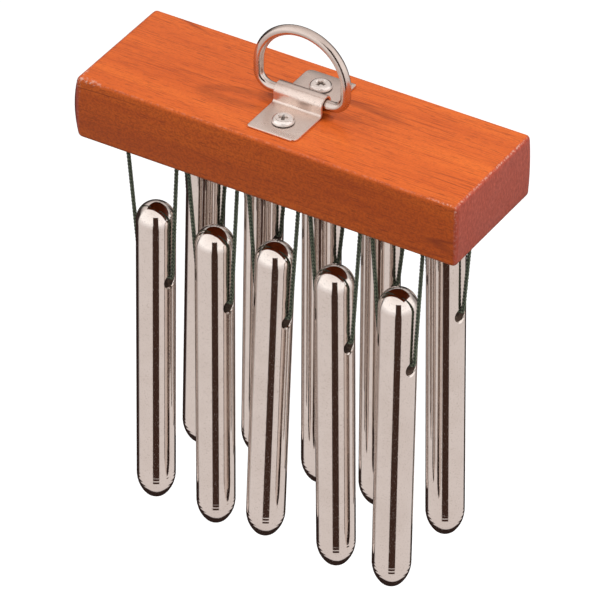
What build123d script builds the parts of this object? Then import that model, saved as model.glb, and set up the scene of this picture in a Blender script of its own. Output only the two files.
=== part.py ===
# Bar chimes: plated bars with domed ends, hung on cord loops in two rows under a wooden block with a ring
from build123d import *
import math
import os

# Hanging ring: a bent wire, its ends butted under the strap; the origin is the top of the ring's inside
RING_WIRE = 2.9
RING_RADIUS = 13.6
RING_RISE = 7.0
RING_CORNER = 4.3
RING_BUTT_GAP = 0.3

# Strap: a sheet strip that holds the ring's straight bar on the block
STRAP_WIDTH = 15.2
STRAP_LENGTH = 32.2
STRAP_THICKNESS = 0.8
STRAP_CORNER = 2.0
STRAP_SMALL_CORNER = 0.6
STRAP_FOOT = 0.8
RING_CLEARANCE = 0.3
RING_BAR_HEIGHT = 3.3

# Screws: pan heads with a cross recess
SCREW_OFFSET = 9.7
SCREW_HEAD = 6.5
SCREW_HEAD_HEIGHT = 1.7
SCREW_HEAD_ROUND = 1.1
SCREW_SHANK = 2.9
SCREW_LENGTH = 12.0
SCREW_POINT = 2.5
SCREW_HOLE_GAP = 0.1
RECESS_LENGTH = 3.4
RECESS_WIDTH = 0.8
RECESS_DEPTH = 1.0

# Wooden block: its length is that of its top edges, both ends bulge a little past them, and its middle is a
# little behind the ring's and to its left
BLOCK_LENGTH = 118.4
BLOCK_WIDTH = 40.2
BLOCK_HEIGHT = 19.6
BLOCK_SET_BACK = 0.6
BLOCK_SET_LEFT = 0.3
BLOCK_ROUND = 1.3
LEFT_BULGE = 1.3
RIGHT_BULGE = 0.4

# Chimes: two rows of five, placed from the block's sides and ends
ROW_INSET = 6.3
END_INSET = 20.6
ROW_MIDDLE = -0.5
BAR_DIAMETER = 11.1
BAR_LENGTH = 100.5
BAR_TIP = 8.2
BAR_TIP_ROUND = 4.2
BAR_HOLE = 4.0
BAR_HOLE_FROM_TOP = 23.7
BAR_HOLE_RIM = 0.6
BAR_TURN = 12.0

# Cords: a loop through each bar, both ends glued in blind holes under the block
CORD_DIAMETER = 1.2
CORD_CLEARANCE = 0.2
CORD_SPREAD = 16.0
CORD_DROP = 40.2
CORD_HOLE = 1.4
CORD_HOLE_DEPTH = 12.0
CORD_MOUTH = 3.2
CORD_END_GAP = 0.1

# How each chime hangs, from left to right: how far it is above its nominal height, how far its bar has slid
# along the cord to the right, and how far the bar's lower end leans to the right, in degrees
FRONT_LIFTS = (0.3, -1.0, 1.0, -0.1, -0.1)
FRONT_SHIFTS = (0.8, 0.6, 0.0, 0.3, 0.5)
FRONT_LEANS = (-0.6, 0.0, -1.9, 0.8, -0.5)
REAR_LIFTS = (0.7, 4.5, 2.2, 1.8, 0.4)
REAR_SHIFTS = (-0.4, -0.6, -1.2, -1.6, -0.2)
REAR_LEANS = (-1.3, -0.8, 0.1, 0.1, 1.0)

ring_bar_z = -(RING_RADIUS - RING_WIRE / 2 + RING_RISE)
block_top = ring_bar_z - RING_BAR_HEIGHT
underside = block_top - BLOCK_HEIGHT
row_y = BLOCK_WIDTH / 2 - ROW_INSET
bar_pitch = (BLOCK_LENGTH - 2 * END_INSET) / (len(FRONT_LIFTS) - 1)
bar_radius = BAR_DIAMETER / 2
cord_radius = CORD_DIAMETER / 2
hole_radius = BAR_HOLE / 2
os.makedirs("parts", exist_ok=True)


def save(shape, name):
    export_step(shape, "parts/" + name + ".step")


def make_ring():
    """Wire ring in the XZ plane: straight bar, two corners, two sides and an arc over the top."""
    arc_z = ring_bar_z + RING_RISE
    side = RING_RADIUS
    bend = RING_CORNER
    half = math.sqrt(0.5) * bend
    start = Vector(RING_BUTT_GAP / 2, 0, ring_bar_z)
    bar_end = Vector(side - bend, 0, ring_bar_z)
    corner_mid = Vector(side - bend + half, 0, ring_bar_z + bend - half)
    side_start = Vector(side, 0, ring_bar_z + bend)
    arc_start = Vector(side, 0, arc_z)
    top = Vector(0, 0, arc_z + RING_RADIUS)

    def left(point):
        return Vector(-point.X, point.Y, point.Z)

    route = Curve() + [
        Line(start, bar_end),
        ThreePointArc(bar_end, corner_mid, side_start),
        Line(side_start, arc_start),
        ThreePointArc(arc_start, top, left(arc_start)),
        Line(left(arc_start), left(side_start)),
        ThreePointArc(left(side_start), left(corner_mid), left(bar_end)),
        Line(left(bar_end), left(start)),
    ]
    section = Plane(origin=start, z_dir=(1, 0, 0)) * Circle(RING_WIRE / 2)
    return sweep(section, path=route)


def make_strap():
    """Strip bent up over the ring's bar, seen along X and extruded over its width."""
    inner = RING_WIRE / 2 + RING_CLEARANCE
    outer = inner + STRAP_THICKNESS
    tab = Pos(0, STRAP_THICKNESS / 2) * Rectangle(STRAP_LENGTH, STRAP_THICKNESS)
    rise = RING_BAR_HEIGHT
    hump = Pos(0, rise / 2) * Rectangle(2 * outer, rise) + Pos(0, rise) * Circle(outer)
    space = Pos(0, rise / 2) * Rectangle(2 * inner, rise) + Pos(0, rise) * Circle(inner)
    profile = tab + hump - space
    across = Plane(origin=(-STRAP_WIDTH / 2, 0, block_top), x_dir=(0, 1, 0), z_dir=(1, 0, 0))
    strap = extrude(across * profile, STRAP_WIDTH)
    feet = [
        edge
        for edge in strap.edges().filter_by(Axis.X)
        if abs(abs(edge.center().Y) - outer) < 0.01 and abs(edge.center().Z - block_top - STRAP_THICKNESS) < 0.01
    ]
    strap = fillet(feet, STRAP_FOOT)
    mouths = [
        edge
        for edge in strap.edges().filter_by(Axis.X)
        if abs(abs(edge.center().Y) - inner) < 0.01 and abs(edge.center().Z - block_top) < 0.01
    ]
    strap = fillet(mouths, STRAP_FOOT)
    corners = [edge for edge in strap.edges().filter_by(Axis.Z) if abs(edge.center().Y) > STRAP_LENGTH / 2 - 0.01]
    strap = fillet([edge for edge in corners if edge.center().X * edge.center().Y < 0], STRAP_CORNER)
    corners = [edge for edge in strap.edges().filter_by(Axis.Z) if abs(edge.center().Y) > STRAP_LENGTH / 2 - 0.01]
    strap = fillet(corners, STRAP_SMALL_CORNER)
    for side in (-1, 1):
        hole = Cylinder(SCREW_SHANK / 2 + 2 * SCREW_HOLE_GAP, 4 * STRAP_THICKNESS)
        strap -= Pos(0, side * SCREW_OFFSET, block_top) * hole
    return strap


def make_screw(side):
    """Pan-head screw, its head on the tab and its shank in the block."""
    seat = block_top + STRAP_THICKNESS
    low = (Align.CENTER, Align.CENTER, Align.MIN)
    head = Cylinder(SCREW_HEAD / 2, SCREW_HEAD_HEIGHT, align=low)
    head = fillet(head.edges().sort_by(Axis.Z)[-1], SCREW_HEAD_ROUND)
    recess = Box(RECESS_LENGTH, RECESS_WIDTH, RECESS_DEPTH, align=low)
    recess += Box(RECESS_WIDTH, RECESS_LENGTH, RECESS_DEPTH, align=low)
    head -= Pos(0, 0, SCREW_HEAD_HEIGHT - RECESS_DEPTH) * recess
    plain = SCREW_LENGTH - SCREW_POINT
    shank = Pos(0, 0, -plain) * Cylinder(SCREW_SHANK / 2, plain, align=low)
    point = Pos(0, 0, -SCREW_LENGTH) * Cone(0.2, SCREW_SHANK / 2, SCREW_POINT, align=low)
    return Pos(0, side * SCREW_OFFSET, seat) * (head + shank + point)


def make_block(holes):
    """Rounded block with two screw holes and a countersunk blind hole for each end of each cord."""
    middle = (block_top + underside) / 2
    half = BLOCK_LENGTH / 2
    outline = Curve() + [
        Line((-half, 0, block_top), (half, 0, block_top)),
        ThreePointArc((half, 0, block_top), (half + RIGHT_BULGE, 0, middle), (half, 0, underside)),
        Line((half, 0, underside), (-half, 0, underside)),
        ThreePointArc((-half, 0, underside), (-half - LEFT_BULGE, 0, middle), (-half, 0, block_top)),
    ]
    block = Pos(-BLOCK_SET_LEFT, BLOCK_SET_BACK, 0) * extrude(make_face(outline), BLOCK_WIDTH / 2, dir=(0, 1, 0), both=True)
    block = fillet(block.edges(), BLOCK_ROUND)
    high = (Align.CENTER, Align.CENTER, Align.MAX)
    for side in (-1, 1):
        depth = SCREW_LENGTH
        hole = Cylinder(SCREW_SHANK / 2 + SCREW_HOLE_GAP, depth, align=high)
        block -= Pos(0, side * SCREW_OFFSET, block_top) * hole
    low = (Align.CENTER, Align.CENTER, Align.MIN)
    flare = (CORD_MOUTH - CORD_HOLE) / 2
    bore = Cylinder(CORD_HOLE / 2, CORD_HOLE_DEPTH, align=low) + Cone(CORD_MOUTH / 2, CORD_HOLE / 2, flare, align=low)
    return block - [Pos(x, y, underside) * bore for x, y in holes]


def make_bar():
    """Bar with a round top, a longer rounded tip and a cross-hole along X, the hole's centre at the origin."""
    top = BAR_HOLE_FROM_TOP
    bottom = top - BAR_LENGTH
    tip = bottom + BAR_TIP
    nose = BAR_TIP_ROUND
    side = (bar_radius ** 2 + BAR_TIP ** 2 - 2 * BAR_TIP * nose) / (2 * (bar_radius - nose))
    meet = math.atan2(BAR_TIP - nose, side - bar_radius)

    def on_side(angle):
        return (bar_radius - side * (1 - math.cos(angle)), 0, tip - side * math.sin(angle))

    def on_nose(angle):
        return (nose * math.cos(angle), 0, bottom + nose - nose * math.sin(angle))

    bulge = math.sqrt(0.5) * bar_radius
    outline = Curve() + [
        Line((0, 0, bottom), (0, 0, top)),
        ThreePointArc((0, 0, top), (bulge, 0, top - bar_radius + bulge), (bar_radius, 0, top - bar_radius)),
        Line((bar_radius, 0, top - bar_radius), (bar_radius, 0, tip)),
        ThreePointArc(on_side(0), on_side(meet / 2), on_side(meet)),
        ThreePointArc(on_nose(meet), on_nose(meet / 2 + math.pi / 4), (0, 0, bottom)),
    ]
    bar = revolve(make_face(outline), Axis.Z)
    rim = BAR_HOLE_RIM
    dip = rim * (1 - math.sqrt(0.5))
    past = bar_radius + 1
    mouth = hole_radius + rim
    hole = Curve() + [
        Line((-past, 0, 0), (past, 0, 0)),
        Line((past, 0, 0), (past, 0, mouth)),
        Line((past, 0, mouth), (bar_radius, 0, mouth)),
        ThreePointArc(
            (bar_radius, 0, mouth), (bar_radius - dip, 0, hole_radius + dip), (bar_radius - rim, 0, hole_radius)
        ),
        Line((bar_radius - rim, 0, hole_radius), (rim - bar_radius, 0, hole_radius)),
        ThreePointArc(
            (rim - bar_radius, 0, hole_radius), (dip - bar_radius, 0, hole_radius + dip), (-bar_radius, 0, mouth)
        ),
        Line((-bar_radius, 0, mouth), (-past, 0, mouth)),
        Line((-past, 0, mouth), (-past, 0, 0)),
    ]
    return bar - revolve(make_face(hole), Axis.X)


def cord_route(drop, shift, lean):
    """Points of a loop: down one side of the bar, through its hole and up the other side."""
    turn = math.radians(BAR_TURN)
    tilt = math.radians(lean)
    reach = bar_radius + CORD_CLEARANCE + cord_radius
    bend = BAR_HOLE_RIM + CORD_CLEARANCE + cord_radius
    cut = bend * (1 - math.tan(math.radians(22.5)))

    def beside(distance, rise):
        across = distance * math.cos(turn)
        x = shift + across * math.cos(tilt) - rise * math.sin(tilt)
        z = across * math.sin(tilt) + rise * math.cos(tilt) - drop
        return Vector(x, -distance * math.sin(turn), z)

    return [
        Vector(-CORD_SPREAD / 2, 0, 0),
        beside(-reach, cut),
        beside(cut - reach, 0),
        beside(reach - cut, 0),
        beside(reach, cut),
        Vector(CORD_SPREAD / 2, 0, 0),
    ]


def arc_radii(points):
    """Radius at each corner of a route: 0.45 of the shorter run over the tangent of half the turn."""
    radii = []
    for before, here, after in zip(points, points[1:], points[2:]):
        first = here - before
        second = after - here
        turn = math.radians(first.get_angle(second))
        radii.append(0.45 * min(first.length, second.length) / math.tan(turn / 2))
    return radii


def make_cord(drop, shift, lean, name):
    """Tube along a loop's route, with a round end where each strand comes out of the block."""
    points = cord_route(drop, shift, lean)
    radii = arc_radii(points)
    line = FilletPolyline(*points, radius=radii)
    start = Plane(origin=line @ 0, z_dir=line % 0)
    cord = sweep(start * Circle(cord_radius), path=line)
    expected = math.pi * cord_radius ** 2 * line.length
    print(name, "radii", [round(r, 2) for r in radii], "length", round(line.length, 2))
    print(name, "volume", round(cord.volume, 2), "section times length", round(expected, 2))
    return cord + [Pos(*points[0]) * Sphere(cord_radius), Pos(*points[-1]) * Sphere(cord_radius)]


save(make_ring(), "hanging_ring")
save(make_strap(), "ring_strap")
save(make_screw(-1), "front_strap_screw")
save(make_screw(1), "rear_strap_screw")

bar = make_bar()
hole_above = hole_radius - cord_radius - CORD_CLEARANCE
rows = (
    ("front", -row_y, FRONT_LIFTS, FRONT_SHIFTS, FRONT_LEANS),
    ("rear", row_y, REAR_LIFTS, REAR_SHIFTS, REAR_LEANS),
)
all_holes = []
for row, y, lifts, shifts, leans in rows:
    holes = []
    for index, (lift, shift, lean) in enumerate(zip(lifts, shifts, leans)):
        x = ROW_MIDDLE + (index - (len(lifts) - 1) / 2) * bar_pitch
        drop = CORD_DROP - lift
        number = str(index + 1)
        hung = Pos(x + shift, y, underside - drop) * Rot(0, -lean, 0) * Pos(0, 0, -hole_above)
        save(hung * Rot(0, 0, -BAR_TURN) * bar, row + "_bar_" + number)
        cord = make_cord(drop, shift, lean, row + "_cord_" + number)
        save(Pos(x, y, underside) * cord, row + "_cord_" + number)
        holes += [(x - CORD_SPREAD / 2, y), (x + CORD_SPREAD / 2, y)]
    end_low = cord_radius + CORD_END_GAP
    end_length = CORD_HOLE_DEPTH - end_low - CORD_END_GAP
    end = Cylinder(cord_radius, end_length, align=(Align.CENTER, Align.CENTER, Align.MIN))
    save(Compound([Pos(x, y, underside + end_low) * end for x, y in holes]), row + "_cord_ends")
    all_holes += holes

save(make_block(all_holes), "wood_block")
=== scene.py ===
# Bar chimes: a stained block with a wire hanging ring, and two rows of plated bars on braided cord loops
import math

import bpy
from mathutils import Matrix, Vector


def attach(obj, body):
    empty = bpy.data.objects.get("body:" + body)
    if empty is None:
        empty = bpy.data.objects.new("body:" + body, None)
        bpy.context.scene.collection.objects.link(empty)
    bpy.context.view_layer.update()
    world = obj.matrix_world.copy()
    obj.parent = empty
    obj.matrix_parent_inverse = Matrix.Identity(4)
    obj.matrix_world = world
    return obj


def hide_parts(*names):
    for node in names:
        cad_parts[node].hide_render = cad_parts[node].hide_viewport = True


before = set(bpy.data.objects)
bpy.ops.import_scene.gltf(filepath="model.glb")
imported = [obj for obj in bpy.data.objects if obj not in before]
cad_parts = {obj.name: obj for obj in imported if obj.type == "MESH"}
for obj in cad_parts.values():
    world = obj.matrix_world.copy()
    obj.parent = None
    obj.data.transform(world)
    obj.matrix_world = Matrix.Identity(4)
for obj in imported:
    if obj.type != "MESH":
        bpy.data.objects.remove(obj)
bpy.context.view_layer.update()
bpy.ops.object.select_all(action="DESELECT")

# The wooden block that carries everything: a short length of planed board with slightly rounded ends,
# stained orange-red and lacquered, with sanded edges. Countersunk blind holes underneath take the cords'
# ends, and two holes in the top take the strap's screws.
MM = 0.001
BLOCK_LENGTH = 118.4 * MM
BLOCK_WIDTH = 40.2 * MM
BLOCK_SET_BACK = 0.6 * MM
BLOCK_SET_LEFT = 0.3 * MM
BLOCK_TOP = -22.45 * MM
UNDERSIDE = -42.05 * MM
BLOCK_MIDDLE = (BLOCK_TOP + UNDERSIDE) / 2
BLOCK_HALF_HEIGHT = (BLOCK_TOP - UNDERSIDE) / 2
BLOCK_ROUND = 1.3 * MM
LEFT_BULGE = 1.3 * MM
RIGHT_BULGE = 0.4 * MM
ROW_Y = 13.8 * MM
ROW_MIDDLE = -0.5 * MM
BAR_PITCH = 19.3 * MM
CORD_SPREAD = 16 * MM
CORD_HOLE_RADIUS = 0.7 * MM
CORD_MOUTH_RADIUS = 1.6 * MM
CORD_HOLE_DEPTH = 12 * MM
SCREW_Y = 9.7 * MM
SCREW_LENGTH = 12 * MM
SHANK_RADIUS = 1.45 * MM
SCREW_CLEARANCE = 0.1 * MM
ROWS = (("front", -ROW_Y), ("rear", ROW_Y))
BARS_IN_ROW = 5
END_STEPS = 12
ROUND_STEPS = 6
BORE_STEPS = 28
CUT_PAST = 1 * MM
MERGE_DISTANCE = 0.002 * MM
SHARP_ANGLE = math.radians(40)
SMOOTH_ANGLE = math.radians(35)


def select_only(piece):
    """Makes one object the only selected one, and the active one."""
    bpy.ops.object.select_all(action="DESELECT")
    piece.select_set(True)
    bpy.context.view_layer.objects.active = piece


def arc(middle_x, middle_z, radius, start, end, steps):
    """Points of an arc in the XZ plane, between two angles in degrees."""
    angles = [math.radians(start + (end - start) * step / steps) for step in range(steps + 1)]
    return [(middle_x + radius * math.cos(a), 0, middle_z + radius * math.sin(a)) for a in angles]


def drawn(name, points):
    """A line drawn by extruding point after point. Edit mode stays on, with the whole line selected."""
    bpy.ops.object.select_all(action="DESELECT")
    bpy.ops.mesh.primitive_plane_add(size=1 * MM, location=(0, 0, 0))
    piece = bpy.context.object
    piece.name = name
    bpy.ops.object.mode_set(mode="EDIT")
    bpy.ops.mesh.select_mode(type="VERT")
    bpy.ops.mesh.merge(type="CENTER")
    here = Vector(points[0])
    bpy.ops.transform.translate(value=here)
    for point in points[1:]:
        step = Vector(point) - here
        bpy.ops.mesh.extrude_region_move(TRANSFORM_OT_translate={"value": step})
        here = Vector(point)
    bpy.ops.mesh.select_all(action="SELECT")
    return piece


def turned(name, profile, steps, axis=(0, 0, 1)):
    """A closed shape turned on a lathe: a profile drawn point by point, then spun round an axis."""
    piece = drawn(name, profile)
    bpy.ops.mesh.spin(steps=steps, angle=2 * math.pi, center=(0, 0, 0), axis=axis)
    bpy.ops.mesh.select_all(action="SELECT")
    bpy.ops.mesh.remove_doubles(threshold=MERGE_DISTANCE)
    bpy.ops.mesh.normals_make_consistent(inside=False)
    bpy.ops.object.mode_set(mode="OBJECT")
    return piece


def join(pieces):
    """Joins objects into the first one, with their places put into the mesh."""
    bpy.ops.object.select_all(action="DESELECT")
    for piece in pieces:
        piece.select_set(True)
    bpy.context.view_layer.objects.active = pieces[0]
    bpy.ops.object.join()
    bpy.ops.object.transform_apply(location=True, rotation=True, scale=True)
    return bpy.context.object


def cut(piece, cutter):
    """Cuts one shape out of another and throws the cutter away."""
    select_only(piece)
    carve = piece.modifiers.new("carve", "BOOLEAN")
    carve.operation = "DIFFERENCE"
    carve.solver = "EXACT"
    carve.object = cutter
    bpy.ops.object.modifier_apply(modifier="carve")
    bpy.data.objects.remove(cutter, do_unlink=True)


def end_arc(side, bulge):
    """The block's rounded end, seen from the front: an arc through the end's top, middle and bottom."""
    radius = (BLOCK_HALF_HEIGHT ** 2 + bulge ** 2) / (2 * bulge)
    reach = math.degrees(math.asin(BLOCK_HALF_HEIGHT / radius))
    middle_x = side * (BLOCK_LENGTH / 2 + bulge - radius) - BLOCK_SET_LEFT
    facing = 0 if side > 0 else 180
    return arc(middle_x, BLOCK_MIDDLE, radius, facing - reach, facing + reach, END_STEPS)


def along_row(index):
    """How far along the block the middle of a chime's place in its row is."""
    return ROW_MIDDLE + (index - (BARS_IN_ROW - 1) / 2) * BAR_PITCH


outline = end_arc(-1, LEFT_BULGE) + end_arc(1, RIGHT_BULGE)
block = drawn("stained_block", [(x, BLOCK_SET_BACK - BLOCK_WIDTH / 2, z) for x, y, z in outline])
bpy.ops.mesh.edge_face_add()
bpy.ops.mesh.extrude_region_move(TRANSFORM_OT_translate={"value": (0, BLOCK_WIDTH, 0)})
bpy.ops.mesh.select_all(action="SELECT")
bpy.ops.mesh.normals_make_consistent(inside=False)
bpy.ops.mesh.select_all(action="DESELECT")
bpy.ops.mesh.select_mode(type="EDGE")
bpy.ops.mesh.edges_select_sharp(sharpness=SHARP_ANGLE)
bpy.ops.mesh.bevel(offset=BLOCK_ROUND, segments=ROUND_STEPS, affect="EDGES", profile=0.5)
bpy.ops.object.mode_set(mode="OBJECT")

bore_profile = [
    (0, 0, -CUT_PAST),
    (CORD_MOUTH_RADIUS + CUT_PAST, 0, -CUT_PAST),
    (CORD_HOLE_RADIUS, 0, CORD_MOUTH_RADIUS - CORD_HOLE_RADIUS),
    (CORD_HOLE_RADIUS, 0, CORD_HOLE_DEPTH),
    (0, 0, CORD_HOLE_DEPTH),
]
screw_bore_radius = SHANK_RADIUS + SCREW_CLEARANCE
screw_bore_profile = [
    (0, 0, -SCREW_LENGTH),
    (screw_bore_radius, 0, -SCREW_LENGTH),
    (screw_bore_radius, 0, CUT_PAST),
    (0, 0, CUT_PAST),
]
cord_holes = {}
cutters = []
for row, row_y in ROWS:
    cord_holes[row] = []
    for index in range(BARS_IN_ROW):
        for side in (-1, 1):
            hole_x = along_row(index) + side * CORD_SPREAD / 2
            cord_holes[row].append(Vector((hole_x, row_y, UNDERSIDE)))
            bore = turned("bore", bore_profile, BORE_STEPS)
            bore.location = cord_holes[row][-1]
            cutters.append(bore)
for side in (-1, 1):
    bore = turned("bore", screw_bore_profile, BORE_STEPS)
    bore.location = (0, side * SCREW_Y, BLOCK_TOP)
    cutters.append(bore)
cut(block, join(cutters))
select_only(block)
bpy.ops.object.shade_smooth_by_angle(angle=SMOOTH_ANGLE)


def adder(tree):
    """Gives a helper that adds a node to a tree, sets it up, and fills or links its inputs."""

    def add(kind, inputs=None, **settings):
        node = tree.nodes.new(kind)
        for key, value in settings.items():
            setattr(node, key, value)
        for key, value in (inputs or {}).items():
            if isinstance(value, bpy.types.NodeSocket):
                tree.links.new(value, node.inputs[key])
            else:
                node.inputs[key].default_value = value
        return node

    return add


def new_material(name):
    """A material, its Principled shader, a helper to add nodes and one to wire the shader's sockets."""
    material = bpy.data.materials.new(name)
    material.use_nodes = True
    tree = material.node_tree
    shader = tree.nodes["Principled BSDF"]

    def wire(**sockets):
        for key, output in sockets.items():
            tree.links.new(output, shader.inputs[key.replace("_", " ")])

    return material, shader, adder(tree), wire


def ramp(add, factor, stops):
    """A colour ramp over a factor, from (position, colour) pairs."""
    node = add("ShaderNodeValToRGB", {"Fac": factor})
    elements = node.color_ramp.elements
    while len(elements) < len(stops):
        elements.new(0.5)
    for element, (position, colour) in zip(elements, stops):
        element.position = position
        element.color = (*colour, 1)
    return node.outputs["Color"]


def maths(add, operation, *values):
    """One step of arithmetic on numbers or other nodes' outputs."""
    return add("ShaderNodeMath", dict(enumerate(values)), operation=operation).outputs[0]


def spread(add, value, low, high, to_low=0.0, to_high=1.0):
    """Maps a value from one range to another, held inside it."""
    inputs = {"Value": value, "From Min": low, "From Max": high, "To Min": to_low, "To Max": to_high}
    return add("ShaderNodeMapRange", inputs).outputs[0]


def blend(add, factor, first, second):
    """Mixes two colours; a plain colour is given as three numbers."""
    inputs = {0: factor}
    for key, colour in ((6, first), (7, second)):
        inputs[key] = colour if isinstance(colour, bpy.types.NodeSocket) else (*colour, 1)
    return add("ShaderNodeMix", inputs, data_type="RGBA").outputs[2]


def noise(add, place, scale=1.0, detail=2.0, roughness=0.5, stretch=None, turn=(0, 0, 0)):
    """A noise pattern, stretched and turned where asked."""
    if stretch:
        place = add("ShaderNodeMapping", {"Vector": place, "Scale": stretch, "Rotation": turn}).outputs[0]
    inputs = {"Vector": place, "Scale": scale, "Detail": detail, "Roughness": roughness}
    return add("ShaderNodeTexNoise", inputs).outputs["Fac"]


STAIN_TONES = [(0.3, (0.59, 0.1, 0.013)), (0.5, (0.68, 0.126, 0.018)), (0.72, (0.76, 0.157, 0.023))]
STREAK_TONE = (0.31, 0.042, 0.007)
PORE_TONE = (0.16, 0.022, 0.006)
FIGURE_TONE = (0.2, 0.028, 0.007)
SPECKLE_TONE = (0.36, 0.048, 0.012)
END_TONES = [(0.3, (0.4, 0.058, 0.032)), (0.55, (0.53, 0.093, 0.054)), (0.75, (0.65, 0.135, 0.08))]
# Painted shade on the block's left end
LEFT_END_SHADE_TONE = (0.07, 0.012, 0.006)
CHIP_TONE = (0.72, 0.39, 0.3)
BAND_STRETCH = (14, 150, 210)
BAND_TURN = (0, 0.012, 0.02)
GATHER_STRETCH = (20, 260, 260)
STREAK_STRETCH = (48, 3000, 3000)
PORE_STRETCH = (230, 4200, 4200)
FIGURE_STRETCH = (6, 75, 75)
FIGURE_TURN = (0, 0.02, 0.03)
FIGURE_RINGS = 5.0
SHOWN_STRETCH = (25, 90, 90)
SPECKLE_SCALE = 1500.0
END_STRETCH = (1500, 1500, 800)
CHIP_SCALE = 1300.0
GRAIN_DEPTH = 0.05 * MM
wood, shader, add, wire = new_material("stained_wood")
place = add("ShaderNodeTexCoord").outputs["Object"]

# How far a point is from the block's faces, and from its nearest edge
axes = add("ShaderNodeSeparateXYZ", {0: place}).outputs
from_end = maths(add, "ABSOLUTE", maths(add, "ADD", axes[0], BLOCK_SET_LEFT))
gap_x = maths(add, "SUBTRACT", BLOCK_LENGTH / 2, from_end)
from_centre = maths(add, "ABSOLUTE", maths(add, "SUBTRACT", axes[1], BLOCK_SET_BACK))
gap_y = maths(add, "SUBTRACT", BLOCK_WIDTH / 2, from_centre)
from_middle = maths(add, "ABSOLUTE", maths(add, "SUBTRACT", axes[2], BLOCK_MIDDLE))
gap_z = maths(add, "SUBTRACT", BLOCK_HALF_HEIGHT, from_middle)
nearer = maths(add, "MINIMUM", gap_x, gap_y)
farther = maths(add, "MAXIMUM", gap_x, gap_y)
edge = maths(add, "MAXIMUM", nearer, maths(add, "MINIMUM", farther, gap_z))

# Broad growth bands that wander slowly along the board
bands = noise(add, place, detail=4.0, roughness=0.55, stretch=BAND_STRETCH, turn=BAND_TURN)
stain = ramp(add, bands, STAIN_TONES)

# Fine dark streaks of the grain, gathered in places, and the short dashes of open pores
on_side = spread(add, gap_y, 0.9 * MM, 0.3 * MM)
gathered = spread(add, noise(add, place, stretch=GATHER_STRETCH), 0.4, 0.6, 0.15, 0.75)
gathered = maths(add, "MULTIPLY", gathered, spread(add, on_side, 0.0, 1.0, 1.0, 0.45))
streaks = noise(add, place, detail=4.0, roughness=0.6, stretch=STREAK_STRETCH)
streak_part = maths(add, "MULTIPLY", spread(add, streaks, 0.53, 0.66), gathered)
pores = noise(add, place, detail=1.0, stretch=PORE_STRETCH)
pore_part = maths(add, "MULTIPLY", spread(add, pores, 0.61, 0.69), 0.55)
streaked = blend(add, streak_part, stain, STREAK_TONE)
pored = blend(add, pore_part, streaked, PORE_TONE)

# A few long figure lines, where a growth ring comes up through a face
figure = noise(add, place, detail=1.0, stretch=FIGURE_STRETCH, turn=FIGURE_TURN)
from_ring = maths(add, "PINGPONG", maths(add, "MULTIPLY", figure, FIGURE_RINGS), 0.5)
shown = spread(add, noise(add, place, detail=1.0, stretch=SHOWN_STRETCH), 0.48, 0.62, 0.0, 0.7)
line_part = maths(add, "MULTIPLY", spread(add, from_ring, 0.045, 0.0), shown)
lined = blend(add, line_part, pored, FIGURE_TONE)

# Fine speckle, stronger on the front and the back where the grain is cut across
speckle = spread(add, noise(add, place, SPECKLE_SCALE, detail=3.0, roughness=0.65), 0.44, 0.62)
speckle_part = maths(add, "MULTIPLY", speckle, spread(add, on_side, 0.0, 1.0, 0.18, 0.5))
speckled = blend(add, speckle_part, lined, SPECKLE_TONE)

# End grain takes the stain darker and more purple, and the left end is painted darker still with shade
end_part = spread(add, gap_x, 0.9 * MM, 0.2 * MM)
end_stain = ramp(add, noise(add, place, detail=3.0, roughness=0.6, stretch=END_STRETCH), END_TONES)
left_x = -BLOCK_LENGTH / 2 - BLOCK_SET_LEFT
left_end_shade = spread(add, axes[0], left_x + 0.1 * MM, left_x - 0.5 * MM, 0.0, 0.8)
ended = blend(add, left_end_shade, blend(add, end_part, speckled, end_stain), LEFT_END_SHADE_TONE)

# Edges are rubbed pale where the lacquer has chipped, most at the right end and the front left corner
worn_corner = Vector((left_x, BLOCK_SET_BACK - BLOCK_WIDTH / 2, BLOCK_TOP))
corner_gap = add("ShaderNodeVectorMath", {0: place, 1: worn_corner}, operation="DISTANCE").outputs["Value"]
reach = spread(add, corner_gap, 9 * MM, 4 * MM, 0.75 * MM, 1.6 * MM)
chips = spread(add, noise(add, place, CHIP_SCALE, detail=4.0, roughness=0.65), 0.49, 0.58)
worn = maths(add, "MULTIPLY", chips, spread(add, edge, reach, maths(add, "MULTIPLY", reach, 0.5)))
off_left_end = spread(add, axes[0], left_x - 0.2 * MM, left_x + 0.4 * MM)
worn = maths(add, "MULTIPLY", worn, off_left_end)
near_end = spread(add, gap_x, 10 * MM, 3 * MM, 0.2, 0.9)
near_top = spread(add, axes[2], BLOCK_TOP - 5 * MM, BLOCK_TOP - 2 * MM, 0.3, 1.0)
rubbed_part = maths(add, "MULTIPLY", worn, maths(add, "MULTIPLY", near_end, near_top))
rubbed = blend(add, rubbed_part, ended, CHIP_TONE)

dents = maths(add, "ADD", pore_part, streak_part)
relief = add("ShaderNodeBump", {"Height": dents, "Strength": 0.25, "Distance": GRAIN_DEPTH}, invert=True)
dull = spread(add, bands, 0.0, 1.0, 0.32, 0.5)
wire(Base_Color=rubbed, Roughness=dull, Normal=relief.outputs[0])
shader.inputs["Coat Weight"].default_value = 0.06
shader.inputs["Coat Roughness"].default_value = 0.2
shader.inputs["Specular IOR Level"].default_value = 0.24


def finish_piece(piece, materials, body, slot, *nodes):
    """Gives a piece its materials, its body and the CAD nodes that it stands for; its slot is not used."""
    for material in materials:
        piece.data.materials.append(material)
    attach(piece, body)
    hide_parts(*nodes)


finish_piece(block, [wood], "block", "stained_wood", "wood_block")

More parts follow.
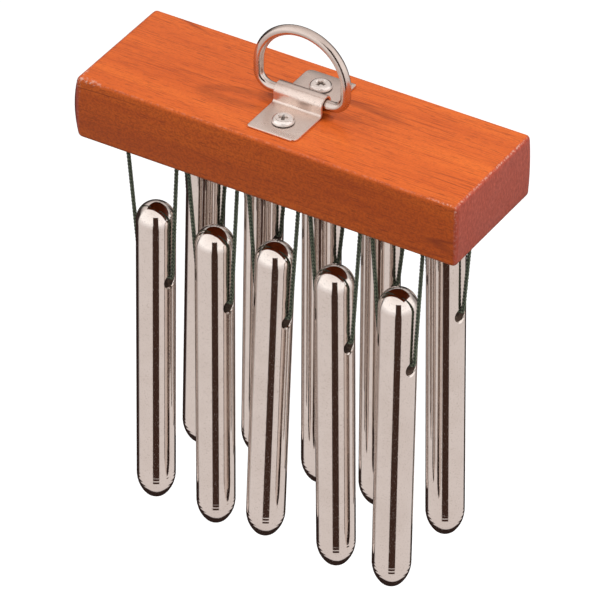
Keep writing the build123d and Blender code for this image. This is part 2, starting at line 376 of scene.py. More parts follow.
# The strap: a strip of nickel-plated sheet, pressed up over the ring's straight bar and screwed down
# through a flat tab on each side. Two opposite corners are cut round, the other two are nearly square.
STRAP_WIDTH = 15.2 * MM
STRAP_LENGTH = 32.2 * MM
STRAP_THICKNESS = 0.8 * MM
STRAP_CORNER = 2 * MM
STRAP_SMALL_CORNER = 0.6 * MM
STRAP_FOOT = 0.8 * MM
STRAP_OUTER = 2.55 * MM
STRAP_EDGE = 0.3 * MM
STRAP_HOLE_SCALE = 1.14
RING_BAR_Z = -19.15 * MM
FOOT_STEPS = 6
HUMP_STEPS = 24
CORNER_STEPS = 8
SMALL_CORNER_STEPS = 4
NEARLY = 0.01 * MM


def pick(piece, test):
    """In edit mode, selects only the vertices whose place passes a test."""
    bpy.ops.mesh.select_mode(type="VERT")
    bpy.ops.mesh.select_all(action="DESELECT")
    bpy.ops.object.mode_set(mode="OBJECT")
    for vertex in piece.data.vertices:
        vertex.select = test(vertex.co)
    bpy.ops.object.mode_set(mode="EDIT")


def shaped(piece, name, kind, **settings):
    """Adds a modifier with its settings, and applies it."""
    select_only(piece)
    modifier = piece.modifiers.new(name, kind)
    for key, value in settings.items():
        setattr(modifier, key, value)
    bpy.ops.object.modifier_apply(modifier=name)


tab_top = BLOCK_TOP + STRAP_THICKNESS
foot_x = STRAP_OUTER + STRAP_FOOT
foot_z = tab_top + STRAP_FOOT
half_strap = [(-STRAP_LENGTH / 2, 0, tab_top)]
half_strap += arc(-foot_x, foot_z, STRAP_FOOT, -90, 0, FOOT_STEPS)
hump = arc(0, RING_BAR_Z, STRAP_OUTER, 180, 0, HUMP_STEPS)
other_half = [(-x, y, z) for x, y, z in reversed(half_strap)]
strap_side = [(-STRAP_WIDTH / 2, x, z) for x, y, z in half_strap + hump + other_half]
strap = drawn("sheet_strap", strap_side)
bpy.ops.mesh.extrude_region_move(TRANSFORM_OT_translate={"value": (STRAP_WIDTH, 0, 0)})
bpy.ops.mesh.select_all(action="SELECT")
bpy.ops.mesh.normals_make_consistent(inside=False)


def at_corner(point, sign):
    """True at the tab corners where X times Y has the given sign."""
    return abs(point.y) > STRAP_LENGTH / 2 - NEARLY and point.x * point.y * sign > 0


def at_side(point):
    """True on the strap's two long sides."""
    return abs(abs(point.x) - STRAP_WIDTH / 2) < NEARLY


pick(strap, lambda point: at_corner(point, -1))
bpy.ops.mesh.bevel(offset=STRAP_CORNER, segments=CORNER_STEPS, affect="VERTICES")
pick(strap, lambda point: at_corner(point, 1) and at_side(point))
bpy.ops.mesh.bevel(offset=STRAP_SMALL_CORNER, segments=SMALL_CORNER_STEPS, affect="VERTICES")
bpy.ops.object.mode_set(mode="OBJECT")
inward = -1 if sum(face.normal.z for face in strap.data.polygons) > 0 else 1
shaped(strap, "sheet", "SOLIDIFY", thickness=STRAP_THICKNESS, offset=inward, use_even_offset=True)
shaped(strap, "edges", "BEVEL", width=STRAP_EDGE, segments=2, limit_method="ANGLE", angle_limit=SHARP_ANGLE)
strap_holes = []
for side in (-1, 1):
    wider_profile = [(x * STRAP_HOLE_SCALE, y, z) for x, y, z in screw_bore_profile]
    hole = turned("hole", wider_profile, BORE_STEPS)
    hole.location = (0, side * SCREW_Y, tab_top)
    strap_holes.append(hole)
cut(strap, join(strap_holes))
select_only(strap)
bpy.ops.object.shade_smooth_by_angle(angle=SMOOTH_ANGLE)

# Plating shared by the strap, screws, ring and bars: haze, fine grain, pits and hairline scratches
CLOUD_SCALE = 110.0
HAIRLINE_STRETCH = (5200, 5200, 260)
HAIRLINE_TURN = (0.5, 0.3, 0.2)
plating = bpy.data.node_groups.new("plating_wear", "ShaderNodeTree")
plating.interface.new_socket("Vector", in_out="INPUT", socket_type="NodeSocketVector")
for socket in ("Grain", "Polish", "Haze"):
    plating.interface.new_socket(socket, in_out="INPUT", socket_type="NodeSocketFloat")
for socket in ("Roughness", "Height", "Tarnish", "Pits"):
    plating.interface.new_socket(socket, in_out="OUTPUT", socket_type="NodeSocketFloat")
add = adder(plating)
given = add("NodeGroupInput").outputs
clouds = noise(add, given["Vector"], CLOUD_SCALE, detail=4.0, roughness=0.6)
grain = noise(add, given["Vector"], given["Grain"])
hairlines = noise(add, given["Vector"], stretch=HAIRLINE_STRETCH, turn=HAIRLINE_TURN)
scratch = spread(add, hairlines, 0.66, 0.74)
haze = maths(add, "MULTIPLY", spread(add, clouds, 0.35, 0.7), given["Haze"])
hazy = maths(add, "ADD", given["Polish"], haze)
dull = maths(add, "ADD", hazy, maths(add, "MULTIPLY", scratch, 0.03))
height = maths(add, "ADD", grain, maths(add, "MULTIPLY", scratch, -0.5))
tarnish = spread(add, clouds, 0.4, 0.75)
pits = spread(add, grain, 0.56, 0.7)
add("NodeGroupOutput", {"Roughness": dull, "Height": height, "Tarnish": tarnish, "Pits": pits})

PIT_TONE = (0.2, 0.16, 0.14)
PLATING_DEPTH = 0.02 * MM


def plated(name, bright, tarnished, polish, haze, grain, relief, pitting):
    """A plated metal, from its bright and tarnished tones, polish, haze, grain, relief and pitting."""
    material, shader, add, wire = new_material(name)
    place = add("ShaderNodeTexCoord").outputs["Object"]
    settings = {"Vector": place, "Grain": grain, "Polish": polish, "Haze": haze}
    worn = add("ShaderNodeGroup", settings, node_tree=plating).outputs
    pitted = maths(add, "MULTIPLY", worn["Pits"], pitting)
    colour = blend(add, pitted, blend(add, worn["Tarnish"], bright, tarnished), PIT_TONE)
    dull = maths(add, "ADD", worn["Roughness"], pitted)
    bump = add("ShaderNodeBump", {"Height": worn["Height"], "Strength": relief, "Distance": PLATING_DEPTH})
    wire(Base_Color=colour, Roughness=dull, Normal=bump.outputs[0])
    shader.inputs["Metallic"].default_value = 1.0
    return material, add, wire, colour, dull


SHEET_BRIGHT = (0.83, 0.705, 0.64)
SHEET_TARNISHED = (0.7, 0.585, 0.53)
sheet_metal = plated(
    "satin_sheet",
    SHEET_BRIGHT,
    SHEET_TARNISHED,
    polish=0.26,
    haze=0.1,
    grain=3000.0,
    relief=0.9,
    pitting=0.22,
)[0]
finish_piece(strap, [sheet_metal], "block", "sheet", "ring_strap")

# Two pan-head wood screws hold the strap's tabs down. They are plated steel, with a cross recess in
# the head, and their plain shanks go down into the block.
HEAD_RADIUS = 3.2 * MM
HEAD_SIDE = 0.25 * MM
HEAD_HEIGHT = 1.45 * MM
HEAD_FOOT = 0.15 * MM
HEAD_TURN = 82
HEAD_STEPS = 8
SCREW_STEPS = 48
SCREW_POINT = 2.5 * MM
SCREW_TIP = 0.2 * MM
RECESS_LENGTH = 4.2 * MM
RECESS_WIDTH = 1.15 * MM
RECESS_DEPTH = 1 * MM
RECESS_TAPER = (0.45, 0.7, 1)
RECESS_EDGE = 0.14 * MM
HEAD_SHARP = math.radians(38)
HEAD_SMOOTH = math.radians(32)
SCREWS = (("front", -SCREW_Y, 25), ("rear", SCREW_Y, -12))
head_round = HEAD_HEIGHT - HEAD_SIDE
screw_profile = [
    (0, 0, -SCREW_LENGTH),
    (SCREW_TIP, 0, -SCREW_LENGTH),
    (SHANK_RADIUS, 0, SCREW_POINT - SCREW_LENGTH),
    (SHANK_RADIUS, 0, 0),
    (HEAD_RADIUS - HEAD_FOOT, 0, 0),
    (HEAD_RADIUS, 0, HEAD_FOOT),
]
screw_profile += arc(HEAD_RADIUS - head_round, HEAD_SIDE, head_round, 0, HEAD_TURN, HEAD_STEPS)
screw_profile.append((0, 0, HEAD_HEIGHT))
SCREW_BRIGHT = (0.97, 0.9, 0.86)
SCREW_TARNISHED = (0.8, 0.72, 0.68)
# Tones of the painted shade, with some grime, down in the recess, and of the painted contact shadow under
# the head
RECESS_SHADE_AND_GRIME = (0.34, 0.29, 0.26)
FOOT_SHADOW_TONE = (0.1, 0.08, 0.07)
plated_screw, add, wire, colour, dull = plated(
    "screw_plating",
    SCREW_BRIGHT,
    SCREW_TARNISHED,
    polish=0.14,
    haze=0.06,
    grain=1700.0,
    relief=1.0,
    pitting=0.1,
)

# Painted shade, with some grime, darkens the bottom of the recess, a painted contact shadow darkens the
# foot of the head, and the head's side is dull
head_top = tab_top + HEAD_HEIGHT
axes = add("ShaderNodeSeparateXYZ", {0: add("ShaderNodeTexCoord").outputs["Object"]}).outputs
from_row = maths(add, "SUBTRACT", maths(add, "ABSOLUTE", axes[1]), SCREW_Y)
squares = maths(add, "ADD", maths(add, "POWER", axes[0], 2.0), maths(add, "POWER", from_row, 2.0))
from_axis = maths(add, "SQRT", squares)
deep = spread(add, axes[2], head_top - 0.2 * MM, head_top - 0.7 * MM)
recess_shade_and_grime = maths(add, "MULTIPLY", deep, spread(add, from_axis, 2.3 * MM, 2 * MM))
foot_shadow = spread(add, axes[2], tab_top + 0.45 * MM, tab_top + 0.15 * MM)
shaded_and_grimy = blend(add, foot_shadow, blend(add, recess_shade_and_grime, colour, RECESS_SHADE_AND_GRIME), FOOT_SHADOW_TONE)
wire(Base_Color=shaded_and_grimy, Roughness=maths(add, "MAXIMUM", dull, maths(add, "MULTIPLY", deep, 0.6)))
for name, screw_y, turn in SCREWS:
    screw = turned(name + "_pan_head_screw", screw_profile, SCREW_STEPS)
    for quarter in (0, 90):
        bpy.ops.object.select_all(action="DESELECT")
        bpy.ops.mesh.primitive_cube_add(size=1, location=(0, 0, 0))
        recess = bpy.context.object
        bpy.ops.object.mode_set(mode="EDIT")
        bpy.ops.transform.resize(value=(RECESS_LENGTH, RECESS_WIDTH, 2 * RECESS_DEPTH))
        pick(recess, lambda point: point.z < 0)
        bpy.ops.transform.resize(value=RECESS_TAPER)
        bpy.ops.object.mode_set(mode="OBJECT")
        recess.rotation_euler = (0, 0, math.radians(turn + quarter))
        recess.location = (0, 0, HEAD_HEIGHT)
        cut(screw, recess)
    screw.location = (0, screw_y, tab_top)
    select_only(screw)
    bpy.ops.object.transform_apply(location=True, rotation=True, scale=True)
    shaped(
        screw,
        "edges",
        "BEVEL",
        width=RECESS_EDGE,
        segments=2,
        limit_method="ANGLE",
        angle_limit=HEAD_SHARP,
    )
    bpy.ops.object.shade_smooth_by_angle(angle=HEAD_SMOOTH)
    finish_piece(screw, [plated_screw], "block", "screws", name + "_strap_screw")

# The hanging ring: one length of nickel-plated wire bent to a D, with its ends butted out of sight under
# the strap. It turns in the strap's hump.
WIRE_RADIUS = 1.45 * MM
RING_RADIUS = 13.6 * MM
RING_RISE = 7 * MM
RING_CORNER = 4.3 * MM
RING_BUTT = 0.15 * MM
WIRE_STEPS = 32
BEND_STEPS = 10
BOW_STEPS = 40
bpy.ops.object.select_all(action="DESELECT")
bpy.ops.mesh.primitive_circle_add(vertices=WIRE_STEPS, radius=WIRE_RADIUS, location=(0, 0, 0))
ring = bpy.context.object
ring.name = "wire_ring"
bpy.ops.object.mode_set(mode="EDIT")
bpy.ops.transform.rotate(value=math.pi / 2, orient_axis="Y", center_override=(0, 0, 0))
bpy.ops.transform.translate(value=(RING_BUTT, 0, RING_BAR_Z))
bar_run = RING_RADIUS - RING_CORNER - RING_BUTT
side_run = RING_RISE - RING_CORNER
corner_z = RING_BAR_Z + RING_CORNER
corner_x = RING_RADIUS - RING_CORNER
bend_axis = (0, 1, 0)
bpy.ops.mesh.extrude_region_move(TRANSFORM_OT_translate={"value": (bar_run, 0, 0)})
bpy.ops.mesh.spin(steps=BEND_STEPS, angle=math.pi / 2, center=(corner_x, 0, corner_z), axis=bend_axis)
bpy.ops.mesh.extrude_region_move(TRANSFORM_OT_translate={"value": (0, 0, side_run)})
bpy.ops.mesh.spin(steps=BOW_STEPS, angle=math.pi, center=(0, 0, RING_BAR_Z + RING_RISE), axis=bend_axis)
bpy.ops.mesh.extrude_region_move(TRANSFORM_OT_translate={"value": (0, 0, -side_run)})
bpy.ops.mesh.spin(steps=BEND_STEPS, angle=math.pi / 2, center=(-corner_x, 0, corner_z), axis=bend_axis)
bpy.ops.mesh.extrude_region_move(TRANSFORM_OT_translate={"value": (bar_run, 0, 0)})
bpy.ops.mesh.select_all(action="SELECT")
bpy.ops.mesh.fill_holes(sides=0)
bpy.ops.mesh.select_all(action="SELECT")
bpy.ops.mesh.normals_make_consistent(inside=False)
bpy.ops.object.mode_set(mode="OBJECT")
bpy.ops.object.shade_smooth_by_angle(angle=SHARP_ANGLE)
WIRE_BRIGHT = (0.67, 0.575, 0.525)
WIRE_TARNISHED = (0.56, 0.47, 0.425)
wire_metal = plated(
    "wire_plating",
    WIRE_BRIGHT,
    WIRE_TARNISHED,
    polish=0.14,
    haze=0.08,
    grain=2600.0,
    relief=0.3,
    pitting=0.1,
)[0]
finish_piece(ring, [wire_metal], "ring", "wire", "hanging_ring")

# The cord loops: round braided cord, dark green. Each comes down from one blind hole beside its bar, goes
# through the bar's cross-hole and up into the next blind hole, and the bar's weight keeps it straight.
CORD_DIAMETER = 1.2 * MM
CORD_DROP = 40.2 * MM
CORD_REACH = 6.35 * MM
CORD_BEND = 1.4 * MM
CORD_CORNER = CORD_BEND * (1 - math.tan(math.radians(22.5)))
STRAIGHT_FROM = 6 * CORD_DIAMETER
BAR_TURN = math.radians(12)
LINE_STEPS = 40
STRANDS_EACH_WAY = 4
BRAID_PITCH = 4.8 * MM
BRAID_RADIUS = 0.36 * MM
BRAID_WAVE = 0.08 * MM
BRAID_STEP = 0.2 * MM
STRAND_RADIUS = 0.2 * MM
FUZZ_SCALE = 2600.0
FUZZ_DEPTH = 0.03 * MM
WANDER_SCALE = 900.0
# The cord's one green thread in two copies: a shaded one with painted shade and a lit one with painted
# highlights
SHADED_STRAND_TONES = ((0.008, 0.011, 0.007), (0.014, 0.02, 0.012), (0.026, 0.034, 0.022))
LIT_STRAND_TONES = ((0.095, 0.125, 0.073), (0.165, 0.2, 0.125), (0.25, 0.28, 0.19))

# How far each bar hangs above the common height and along the row, in mm, and how far it leans, in degrees
LIFTS = {"front": (0.3, -1.0, 1.0, -0.1, -0.1), "rear": (0.7, 4.5, 2.2, 1.8, 0.4)}
SHIFTS = {"front": (0.8, 0.6, 0.0, 0.3, 0.5), "rear": (-0.4, -0.6, -1.2, -1.6, -0.2)}
LEANS = {"front": (-0.6, 0.0, -1.9, 0.8, -0.5), "rear": (-1.3, -0.8, 0.1, 0.1, 1.0)}


def hung(row, row_y, index):
    """Where a bar hangs: the middle of the cord in its hole, slid along the cord and leaned a little."""
    drop = CORD_DROP - LIFTS[row][index] * MM
    along = along_row(index) + SHIFTS[row][index] * MM
    lean = math.radians(LEANS[row][index])
    return Matrix.Translation((along, row_y, UNDERSIDE - drop)) @ Matrix.Rotation(-lean, 4, "Y")


def beside(distance, rise):
    """A point beside the bar, on the line of its turned cross-hole or a little above it."""
    return Vector((distance * math.cos(BAR_TURN), -distance * math.sin(BAR_TURN), rise))


def loop_points(left_top, right_top, place):
    """The loop's route: down one side of the bar, through its hole and up the other side."""
    left_side = place @ beside(-CORD_REACH, CORD_CORNER)
    right_side = place @ beside(CORD_REACH, CORD_CORNER)
    straight = STRAIGHT_FROM / (right_top - right_side).length
    return [
        left_top,
        left_side.lerp(left_top, straight),
        left_side,
        place @ beside(CORD_CORNER - CORD_REACH, 0),
        place @ beside(CORD_REACH - CORD_CORNER, 0),
        right_side,
        right_side.lerp(right_top, straight),
        right_top,
    ]


def smooth_line(points):
    """Closely spaced points along a NURBS spline that has the given control points."""
    curve = bpy.data.curves.new("route", "CURVE")
    curve.dimensions = "3D"
    curve.resolution_u = LINE_STEPS
    spline = curve.splines.new("NURBS")
    spline.points.add(len(points) - 1)
    for knot, point in zip(spline.points, points):
        knot.co = (*point, 1)
    spline.order_u = 3
    spline.use_endpoint_u = True
    route = bpy.data.objects.new("route", curve)
    bpy.context.collection.objects.link(route)
    bpy.context.view_layer.update()
    mesh = bpy.data.meshes.new_from_object(route)
    line = [vertex.co.copy() for vertex in mesh.vertices]
    bpy.data.objects.remove(route, do_unlink=True)
    bpy.data.meshes.remove(mesh)
    return line


def even_steps(line, step):
    """The same line walked in even steps."""
    total = sum((b - a).length for a, b in zip(line, line[1:]))
    count = max(2, round(total / step))
    out = [line[0].copy()]
    walked = 0.0
    target = total / count
    for a, b in zip(line, line[1:]):
        length = (b - a).length
        while length > 0 and walked + length >= target * len(out) and len(out) < count:
            out.append(a.lerp(b, (target * len(out) - walked) / length))
        walked += length
    out.append(line[-1].copy())
    return out


# Fibres shared by the shaded and lit copies of the thread: how their tone wanders, and their fine fuzz
fibres = bpy.data.node_groups.new("thread_fibres", "ShaderNodeTree")
fibres.interface.new_socket("Vector", in_out="INPUT", socket_type="NodeSocketVector")
for socket in ("Tone", "Height"):
    fibres.interface.new_socket(socket, in_out="OUTPUT", socket_type="NodeSocketFloat")
add = adder(fibres)
given = add("NodeGroupInput").outputs
fuzz = noise(add, given["Vector"], FUZZ_SCALE, detail=3.0)
wander = noise(add, given["Vector"], WANDER_SCALE)
tone = maths(add, "MULTIPLY", maths(add, "ADD", fuzz, wander), 0.5)
add("NodeGroupOutput", {"Tone": tone, "Height": fuzz})


def thread(name, dark, mid, light):
    """Twisted thread: its colour wanders between three tones, over fibres that show as fine fuzz."""
    material, shader, add, wire = new_material(name)
    place = add("ShaderNodeTexCoord").outputs["Object"]
    spun = add("ShaderNodeGroup", {"Vector": place}, node_tree=fibres).outputs
    fuzz = add("ShaderNodeBump", {"Height": spun["Height"], "Strength": 0.4, "Distance": FUZZ_DEPTH})
    tone = ramp(add, spun["Tone"], [(0.35, dark), (0.5, mid), (0.65, light)])
    wire(Base_Color=tone, Normal=fuzz.outputs[0])
    shader.inputs["Roughness"].default_value = 0.75
    shader.inputs["Sheen Weight"].default_value = 0.2
    return material


shaded_thread = thread("shaded_thread", *SHADED_STRAND_TONES)
lit_thread = thread("lit_thread", *LIT_STRAND_TONES)


def braid(name, lines):
    """Round braids of eight strands along lines: four wind one way, four the other, over and under."""
    curve = bpy.data.curves.new(name, "CURVE")
    curve.dimensions = "3D"
    curve.bevel_depth = STRAND_RADIUS
    curve.bevel_resolution = 1
    curve.use_fill_caps = True
    curve.materials.append(shaded_thread)
    curve.materials.append(lit_thread)
    for line in lines:
        walk = even_steps(line, BRAID_STEP)
        side = Vector((0, 1, 0))
        frames = []
        length = 0.0
        for number, point in enumerate(walk):
            ahead = walk[min(number + 1, len(walk) - 1)]
            behind = walk[max(number - 1, 0)]
            along = (ahead - behind).normalized()
            side = (side - along * side.dot(along)).normalized()
            frames.append((point, side.copy(), along.cross(side), length))
            length += (ahead - point).length
        for way in (-1, 1):
            for strand in range(STRANDS_EACH_WAY):
                spline = curve.splines.new("POLY")
                # Strands winding one way take the copy with painted shade, those winding the other the copy
                # with painted highlights
                spline.material_index = (1 + way) // 2
                spline.points.add(len(frames) - 1)
                for knot, (point, first, second, distance) in zip(spline.points, frames):
                    turn = 2 * math.pi * distance / BRAID_PITCH
                    angle = way * turn + 2 * math.pi * strand / STRANDS_EACH_WAY
                    radius = BRAID_RADIUS + way * BRAID_WAVE * math.cos(STRANDS_EACH_WAY * turn)
                    spot = point + radius * (math.cos(angle) * first + math.sin(angle) * second)
                    knot.co = (*spot, 1)
    piece = bpy.data.objects.new(name, curve)
    bpy.context.collection.objects.link(piece)
    select_only(piece)
    bpy.ops.object.convert(target="MESH")
    bpy.ops.object.shade_smooth()
    return bpy.context.object


for row, row_y in ROWS:
    for index in range(BARS_IN_ROW):
        left_top, right_top = cord_holes[row][2 * index:2 * index + 2]
        line = smooth_line(loop_points(left_top, right_top, hung(row, row_y, index)))
        name = row + "_cord_" + str(index + 1)
        loop = braid(name + "_braid", [line])
        finish_piece(loop, [], name, "cord", name)

# The cords' ends: the last stretch of each strand, glued up its blind hole. They start a little way up,
# clear of the swinging loops.
END_LOW = 0.6 * MM
END_HIGH = 11.8 * MM
for row, holes in cord_holes.items():
    lines = [[hole + Vector((0, 0, END_LOW)), hole + Vector((0, 0, END_HIGH))] for hole in holes]
    ends = braid(row + "_cord_ends_braid", lines)
    finish_piece(ends, [], "block", "cord", row + "_cord_ends")

# The bars: solid rod turned with a dome at each end, cross-drilled with a flared mouth on both sides for
# the cord, then polished and nickel plated to a mirror. Faint turning marks stay above the lower tip. All
# ten are alike, and are modelled with the cross-hole's axis through the origin.
BAR_RADIUS = 5.55 * MM
BAR_LENGTH = 100.5 * MM
TIP_HEIGHT = 8.2 * MM
TIP_ROUND = 4.2 * MM
HOLE_FROM_TOP = 23.7 * MM
HOLE_RADIUS = 2 * MM
HOLE_RIM = 0.85 * MM
HOLE_ABOVE = 1.2 * MM
DOME_LINE = 0.25 * MM
MARK_PITCH = 1.2 * MM
MARK_DEPTH = 0.035 * MM
MARK_STEP = 0.15 * MM
MARK_STEPS = 11
MARK_FADE = 0.8 * MM
MARKS_LOW = -3 * MM
MARKS_HIGH = 1.5 * MM
BAR_STEPS = 96
TIP_STEPS = 10
TIP_SIDE_STEPS = 40
DOME_STEPS = 18
RIM_STEPS = 10
HOLE_STEPS = 64
SLIVER = 0.001 * MM
BAR_SMOOTH = math.radians(50)
SKIN = 0.02 * MM
CLEAR_OF_HOLE = 4 * MM
BORE_INSET = 0.1 * MM

# Heights in mm of the edges round the bar, from the cross-hole's axis
BAND_HEIGHTS = (-40, -20, -10, -6, -4.5, -3.6, -3, -2, -1, 0, 1, 2, 3, 3.6, 4.5, 6, 10)
bottom_z = HOLE_FROM_TOP - BAR_LENGTH
dome_z = HOLE_FROM_TOP - BAR_RADIUS
tip_z = bottom_z + TIP_HEIGHT
tip_squares = BAR_RADIUS ** 2 + TIP_HEIGHT ** 2 - 2 * TIP_HEIGHT * TIP_ROUND
tip_side = tip_squares / (2 * (BAR_RADIUS - TIP_ROUND))
tip_meet = math.degrees(math.atan2(TIP_HEIGHT - TIP_ROUND, tip_side - BAR_RADIUS))


def marked(point):
    """Takes a point of the profile in by the depth of the turning marks there, which fade at both ends."""
    x, y, z = point
    above = z - tip_z
    fade = max(0, min(1, (above - MARKS_LOW) / MARK_FADE, (MARKS_HIGH - above) / MARK_FADE))
    depth = MARK_DEPTH * fade * (1 - math.sin(2 * math.pi * z / MARK_PITCH)) / 2
    return (x - depth, y, z)


bar_profile = arc(0, bottom_z + TIP_ROUND, TIP_ROUND, -90, -tip_meet, TIP_STEPS)[:-1]
tip_profile = arc(BAR_RADIUS - tip_side, tip_z, tip_side, -tip_meet, 0, TIP_SIDE_STEPS)
tip_profile += [(BAR_RADIUS, 0, tip_z + step * MARK_STEP) for step in range(1, MARK_STEPS + 1)]
bar_profile += [marked(point) for point in tip_profile]
bar_profile += [(BAR_RADIUS, 0, height * MM) for height in BAND_HEIGHTS]
bar_profile.append((BAR_RADIUS, 0, dome_z - DOME_LINE))
bar_profile += arc(0, dome_z, BAR_RADIUS, 0, 90, DOME_STEPS)
master_bar = turned("master_bar", bar_profile, BAR_STEPS)
bpy.ops.object.shade_smooth()
plain_bar = master_bar.copy()
plain_bar.data = master_bar.data.copy()
bpy.context.collection.objects.link(plain_bar)

lip_x = BAR_RADIUS - HOLE_RIM
lip_z = HOLE_RADIUS + HOLE_RIM
past = BAR_RADIUS + CUT_PAST
hole_profile = [(-past, 0, 0), (-past, 0, lip_z)]
hole_profile += arc(-lip_x, lip_z, HOLE_RIM, 180, 270, RIM_STEPS)
hole_profile += arc(lip_x, lip_z, HOLE_RIM, 270, 360, RIM_STEPS)
hole_profile += [(past, 0, lip_z), (past, 0, 0)]
cut(master_bar, turned("cross_hole", hole_profile, HOLE_STEPS, (1, 0, 0)))
select_only(master_bar)
bpy.ops.object.mode_set(mode="EDIT")
bpy.ops.mesh.select_all(action="SELECT")
bpy.ops.mesh.dissolve_degenerate(threshold=SLIVER)
bpy.ops.object.mode_set(mode="OBJECT")
bpy.ops.object.shade_smooth_by_angle(angle=BAR_SMOOTH)

# The boolean leaves long faces beside the hole, so the outside keeps the plain bar's smooth normals
outside = master_bar.vertex_groups.new(name="outside")
for vertex in master_bar.data.vertices:
    on_skin = math.hypot(vertex.co.x, vertex.co.y) > BAR_RADIUS - SKIN
    if on_skin or abs(vertex.co.z) > CLEAR_OF_HOLE:
        outside.add([vertex.index], 1.0, "REPLACE")
shaped(
    master_bar,
    "smooth outside",
    "DATA_TRANSFER",
    object=plain_bar,
    use_loop_data=True,
    data_types_loops={"CUSTOM_NORMAL"},
    loop_mapping="POLYINTERP_NEAREST",
    vertex_group="outside",
)
bpy.data.objects.remove(plain_bar, do_unlink=True)
master_bar.vertex_groups.clear()

BAR_BRIGHT = (0.83, 0.76, 0.715)
BAR_TARNISHED = (0.77, 0.695, 0.645)
nickel = plated(
    "mirror_nickel",
    BAR_BRIGHT,
    BAR_TARNISHED,
    polish=0.045,
    haze=0.03,
    grain=2400.0,
    relief=0.05,
    pitting=0.16,
)[0]

# The plating is thin and dull down in the drilled hole
BORE_TONES = [(0.35, (0.1, 0.065, 0.05)), (0.65, (0.24, 0.165, 0.125))]
BORE_STAIN_SCALE = 1800.0
drilled, shader, add, wire = new_material("drilled_bore")
place = add("ShaderNodeTexCoord").outputs["Object"]
stains = noise(add, place, BORE_STAIN_SCALE, detail=3.0)
wire(Base_Color=ramp(add, stains, BORE_TONES))
shader.inputs["Metallic"].default_value = 0.25
shader.inputs["Roughness"].default_value = 0.55
master_bar.data.materials.append(nickel)
master_bar.data.materials.append(drilled)
for face in master_bar.data.polygons:
    centre = face.center
    in_bore = math.hypot(centre.y, centre.z) < HOLE_RADIUS + SKIN
    if in_bore and math.hypot(centre.x, centre.y) < BAR_RADIUS - BORE_INSET:
        face.material_index = 1

for row, row_y in ROWS:
    for index in range(BARS_IN_ROW):
        name = row + "_bar_" + str(index + 1)
        bar = master_bar.copy()
        bar.data = master_bar.data.copy()
        bar.name = name + "_rod"
        bpy.context.collection.objects.link(bar)
        place = hung(row, row_y, index) @ Matrix.Translation((0, 0, -HOLE_ABOVE))
        bar.matrix_world = place @ Matrix.Rotation(-BAR_TURN, 4, "Z")
        select_only(bar)
        bpy.ops.object.transform_apply(location=True, rotation=True, scale=True)
        finish_piece(bar, [], name, "bars", name)
bpy.data.objects.remove(master_bar, do_unlink=True)

# The camera stands to the right of the front and above it, well back with a long lens, as in the
# photograph.
AIM = Vector((-0.31 * MM, 0, -86.4 * MM))
CAMERA_TURN = math.radians(30.993)
CAMERA_RISE = math.radians(35.716)
CAMERA_ROLL = math.radians(0.311)
CAMERA_DISTANCE = 1.6
PIXELS_PER_MM = 3.642
IMAGE_WIDTH = 600
SENSOR_WIDTH = 36
FAR_CLIP = 50
camera_data = bpy.data.cameras.new("camera")
camera_data.sensor_width = SENSOR_WIDTH
camera_data.lens = PIXELS_PER_MM * CAMERA_DISTANCE / MM / IMAGE_WIDTH * SENSOR_WIDTH
camera_data.clip_end = FAR_CLIP
camera = bpy.data.objects.new("camera", camera_data)
bpy.context.collection.objects.link(camera)
look = Matrix.Rotation(CAMERA_TURN, 4, "Z") @ Matrix.Rotation(math.pi / 2 - CAMERA_RISE, 4, "X")
look = look @ Matrix.Rotation(CAMERA_ROLL, 4, "Z")
camera.matrix_world = Matrix.Translation(AIM) @ look @ Matrix.Translation((0, 0, CAMERA_DISTANCE))
bpy.context.scene.camera = camera

# A plain white floor well below the hanging chimes. Only the camera sees it, so that it throws no light
# back up at them.
FLOOR_SIZE = 12
FLOOR_Z = -0.8
FLOOR_TONE = (0.95, 0.95, 0.95, 1)
FLOOR_GLOW = (1, 1, 1, 1)
bpy.ops.object.select_all(action="DESELECT")
bpy.ops.mesh.primitive_plane_add(size=FLOOR_SIZE, location=(0, 0, FLOOR_Z))
floor = bpy.context.object
floor.name = "floor"
floor_paint, shader = new_material("floor_paint")[:2]
shader.inputs["Base Color"].default_value = FLOOR_TONE
shader.inputs["Roughness"].default_value = 0.9
shader.inputs["Emission Color"].default_value = FLOOR_GLOW
shader.inputs["Emission Strength"].default_value = 0.4
floor.data.materials.append(floor_paint)
floor.visible_diffuse = False
floor.visible_glossy = False
floor.visible_shadow = False

# The studio round it: white for the camera, a soft fill that is brighter from above, and for the plated
# pieces a pale room with a dark gap in front, a dark wall at the back left and a dark table underneath.
FRONT = (0.515, -0.857, 0)
RIGHT = (0.857, 0.515, 0)
BACK_LEFT = (-0.682, 0.731, 0)
TABLE = (-0.31, 0.4, -0.86)
GAP_WIDTH = 0.258
GAP_EDGE = 0.012
GAP_LOW = -0.7
GAP_HIGH = 0.7
GAP_FADE = 0.03
GAP_TONE = (0.05, 0.026, 0.019)
BACK_WALL_TONE = (0.04, 0.028, 0.025)
TABLE_TONE = (0.03, 0.018, 0.015)
WHITE = (1.0, 1.0, 1.0)
FILL_STRENGTHS = ((0.0, 0.0), (0.44, 0.02), (0.55, 0.24), (1.0, 0.7))
FRONT_WALL_TONES = [
    (0.0, (0.74, 0.68, 0.66)),
    (0.27, (0.76, 0.7, 0.675)),
    (0.42, (0.95, 0.91, 0.9)),
    (0.55, (1.25, 1.22, 1.2)),
    (0.72, (1.2, 1.17, 1.15)),
    (0.81, (1.18, 1.13, 1.1)),
    (1.0, (1.0, 0.94, 0.91)),
]
OTHER_WALL_TONES = [
    (0.0, (0.74, 0.68, 0.66)),
    (0.27, (0.76, 0.7, 0.675)),
    (0.42, (0.4, 0.36, 0.35)),
    (0.6, (0.35, 0.33, 0.32)),
    (0.7, (0.74, 0.68, 0.65)),
    (1.0, (0.84, 0.78, 0.75)),
]
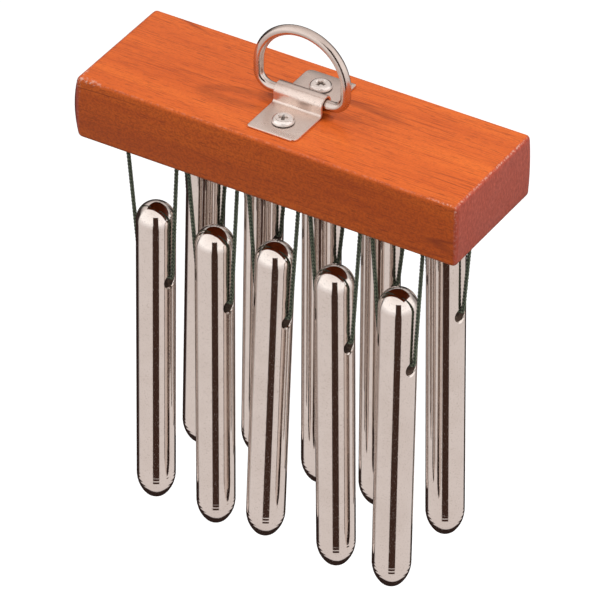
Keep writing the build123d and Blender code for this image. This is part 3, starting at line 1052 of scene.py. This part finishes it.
LIGHT_AIM = Vector((0, 0, -0.03))
world = bpy.data.worlds.new("studio")
bpy.context.scene.world = world
bpy.context.scene.view_settings.view_transform = "Standard"
world.use_nodes = True
add = adder(world.node_tree)
direction = add("ShaderNodeTexCoord").outputs["Generated"]


def facing_share(way):
    """How nearly a direction of the studio faces a given way, from -1 to 1."""
    return add("ShaderNodeVectorMath", {0: direction, 1: way}, operation="DOT_PRODUCT").outputs["Value"]


rise = add("ShaderNodeSeparateXYZ", {0: direction}).outputs[2]
height = spread(add, rise, -1.0, 1.0)
front_wall = ramp(add, height, FRONT_WALL_TONES)
other_walls = ramp(add, height, OTHER_WALL_TONES)
front = facing_share(FRONT)
walls = blend(add, spread(add, front, -0.45, -0.2), other_walls, front_wall)
back_left = spread(add, facing_share(BACK_LEFT), 0.44, 0.56)
behind = maths(add, "MULTIPLY", back_left, spread(add, rise, 0.2, 0.05))
walls = blend(add, behind, walls, BACK_WALL_TONE)
sideways = maths(add, "ABSOLUTE", facing_share(RIGHT))
gap = spread(add, sideways, GAP_WIDTH + GAP_EDGE, GAP_WIDTH - GAP_EDGE)
gap = maths(add, "MULTIPLY", gap, spread(add, front, 0.0, 0.1))
gap = maths(add, "MULTIPLY", gap, spread(add, rise, GAP_HIGH, GAP_HIGH - GAP_FADE))
gap = maths(add, "MULTIPLY", gap, spread(add, rise, GAP_LOW, GAP_LOW + GAP_FADE))
table = spread(add, facing_share(TABLE), 0.74, 0.78)
room = blend(add, gap, blend(add, table, walls, TABLE_TONE), GAP_TONE)
fill = ramp(add, height, [(position, (grey, grey, grey)) for position, grey in FILL_STRENGTHS])
seen_by = add("ShaderNodeLightPath").outputs
colour = blend(add, seen_by["Is Glossy Ray"], fill, room)
colour = blend(add, seen_by["Is Camera Ray"], colour, WHITE)
background = world.node_tree.nodes["Background"]
world.node_tree.links.new(colour, background.inputs["Color"])
background.inputs["Strength"].default_value = 1.0


def softbox(name, place, size, energy):
    """A soft square light, turned to the middle of the block. The plated pieces mirror the room instead."""
    data = bpy.data.lights.new(name, "AREA")
    data.energy = energy
    data.size = size
    light = bpy.data.objects.new(name, data)
    bpy.context.collection.objects.link(light)
    light.location = place
    light.visible_glossy = False
    light.rotation_euler = (LIGHT_AIM - light.location).to_track_quat("-Z", "Y").to_euler()


softbox("key", (-0.4, -0.3, 1.15), size=0.8, energy=6.6)
softbox("right_light", (0.95, 0.35, 1.08), size=0.08, energy=8.7)
softbox("front_light", (0.9, -1.2, 0.3), size=1.0, energy=6.8)
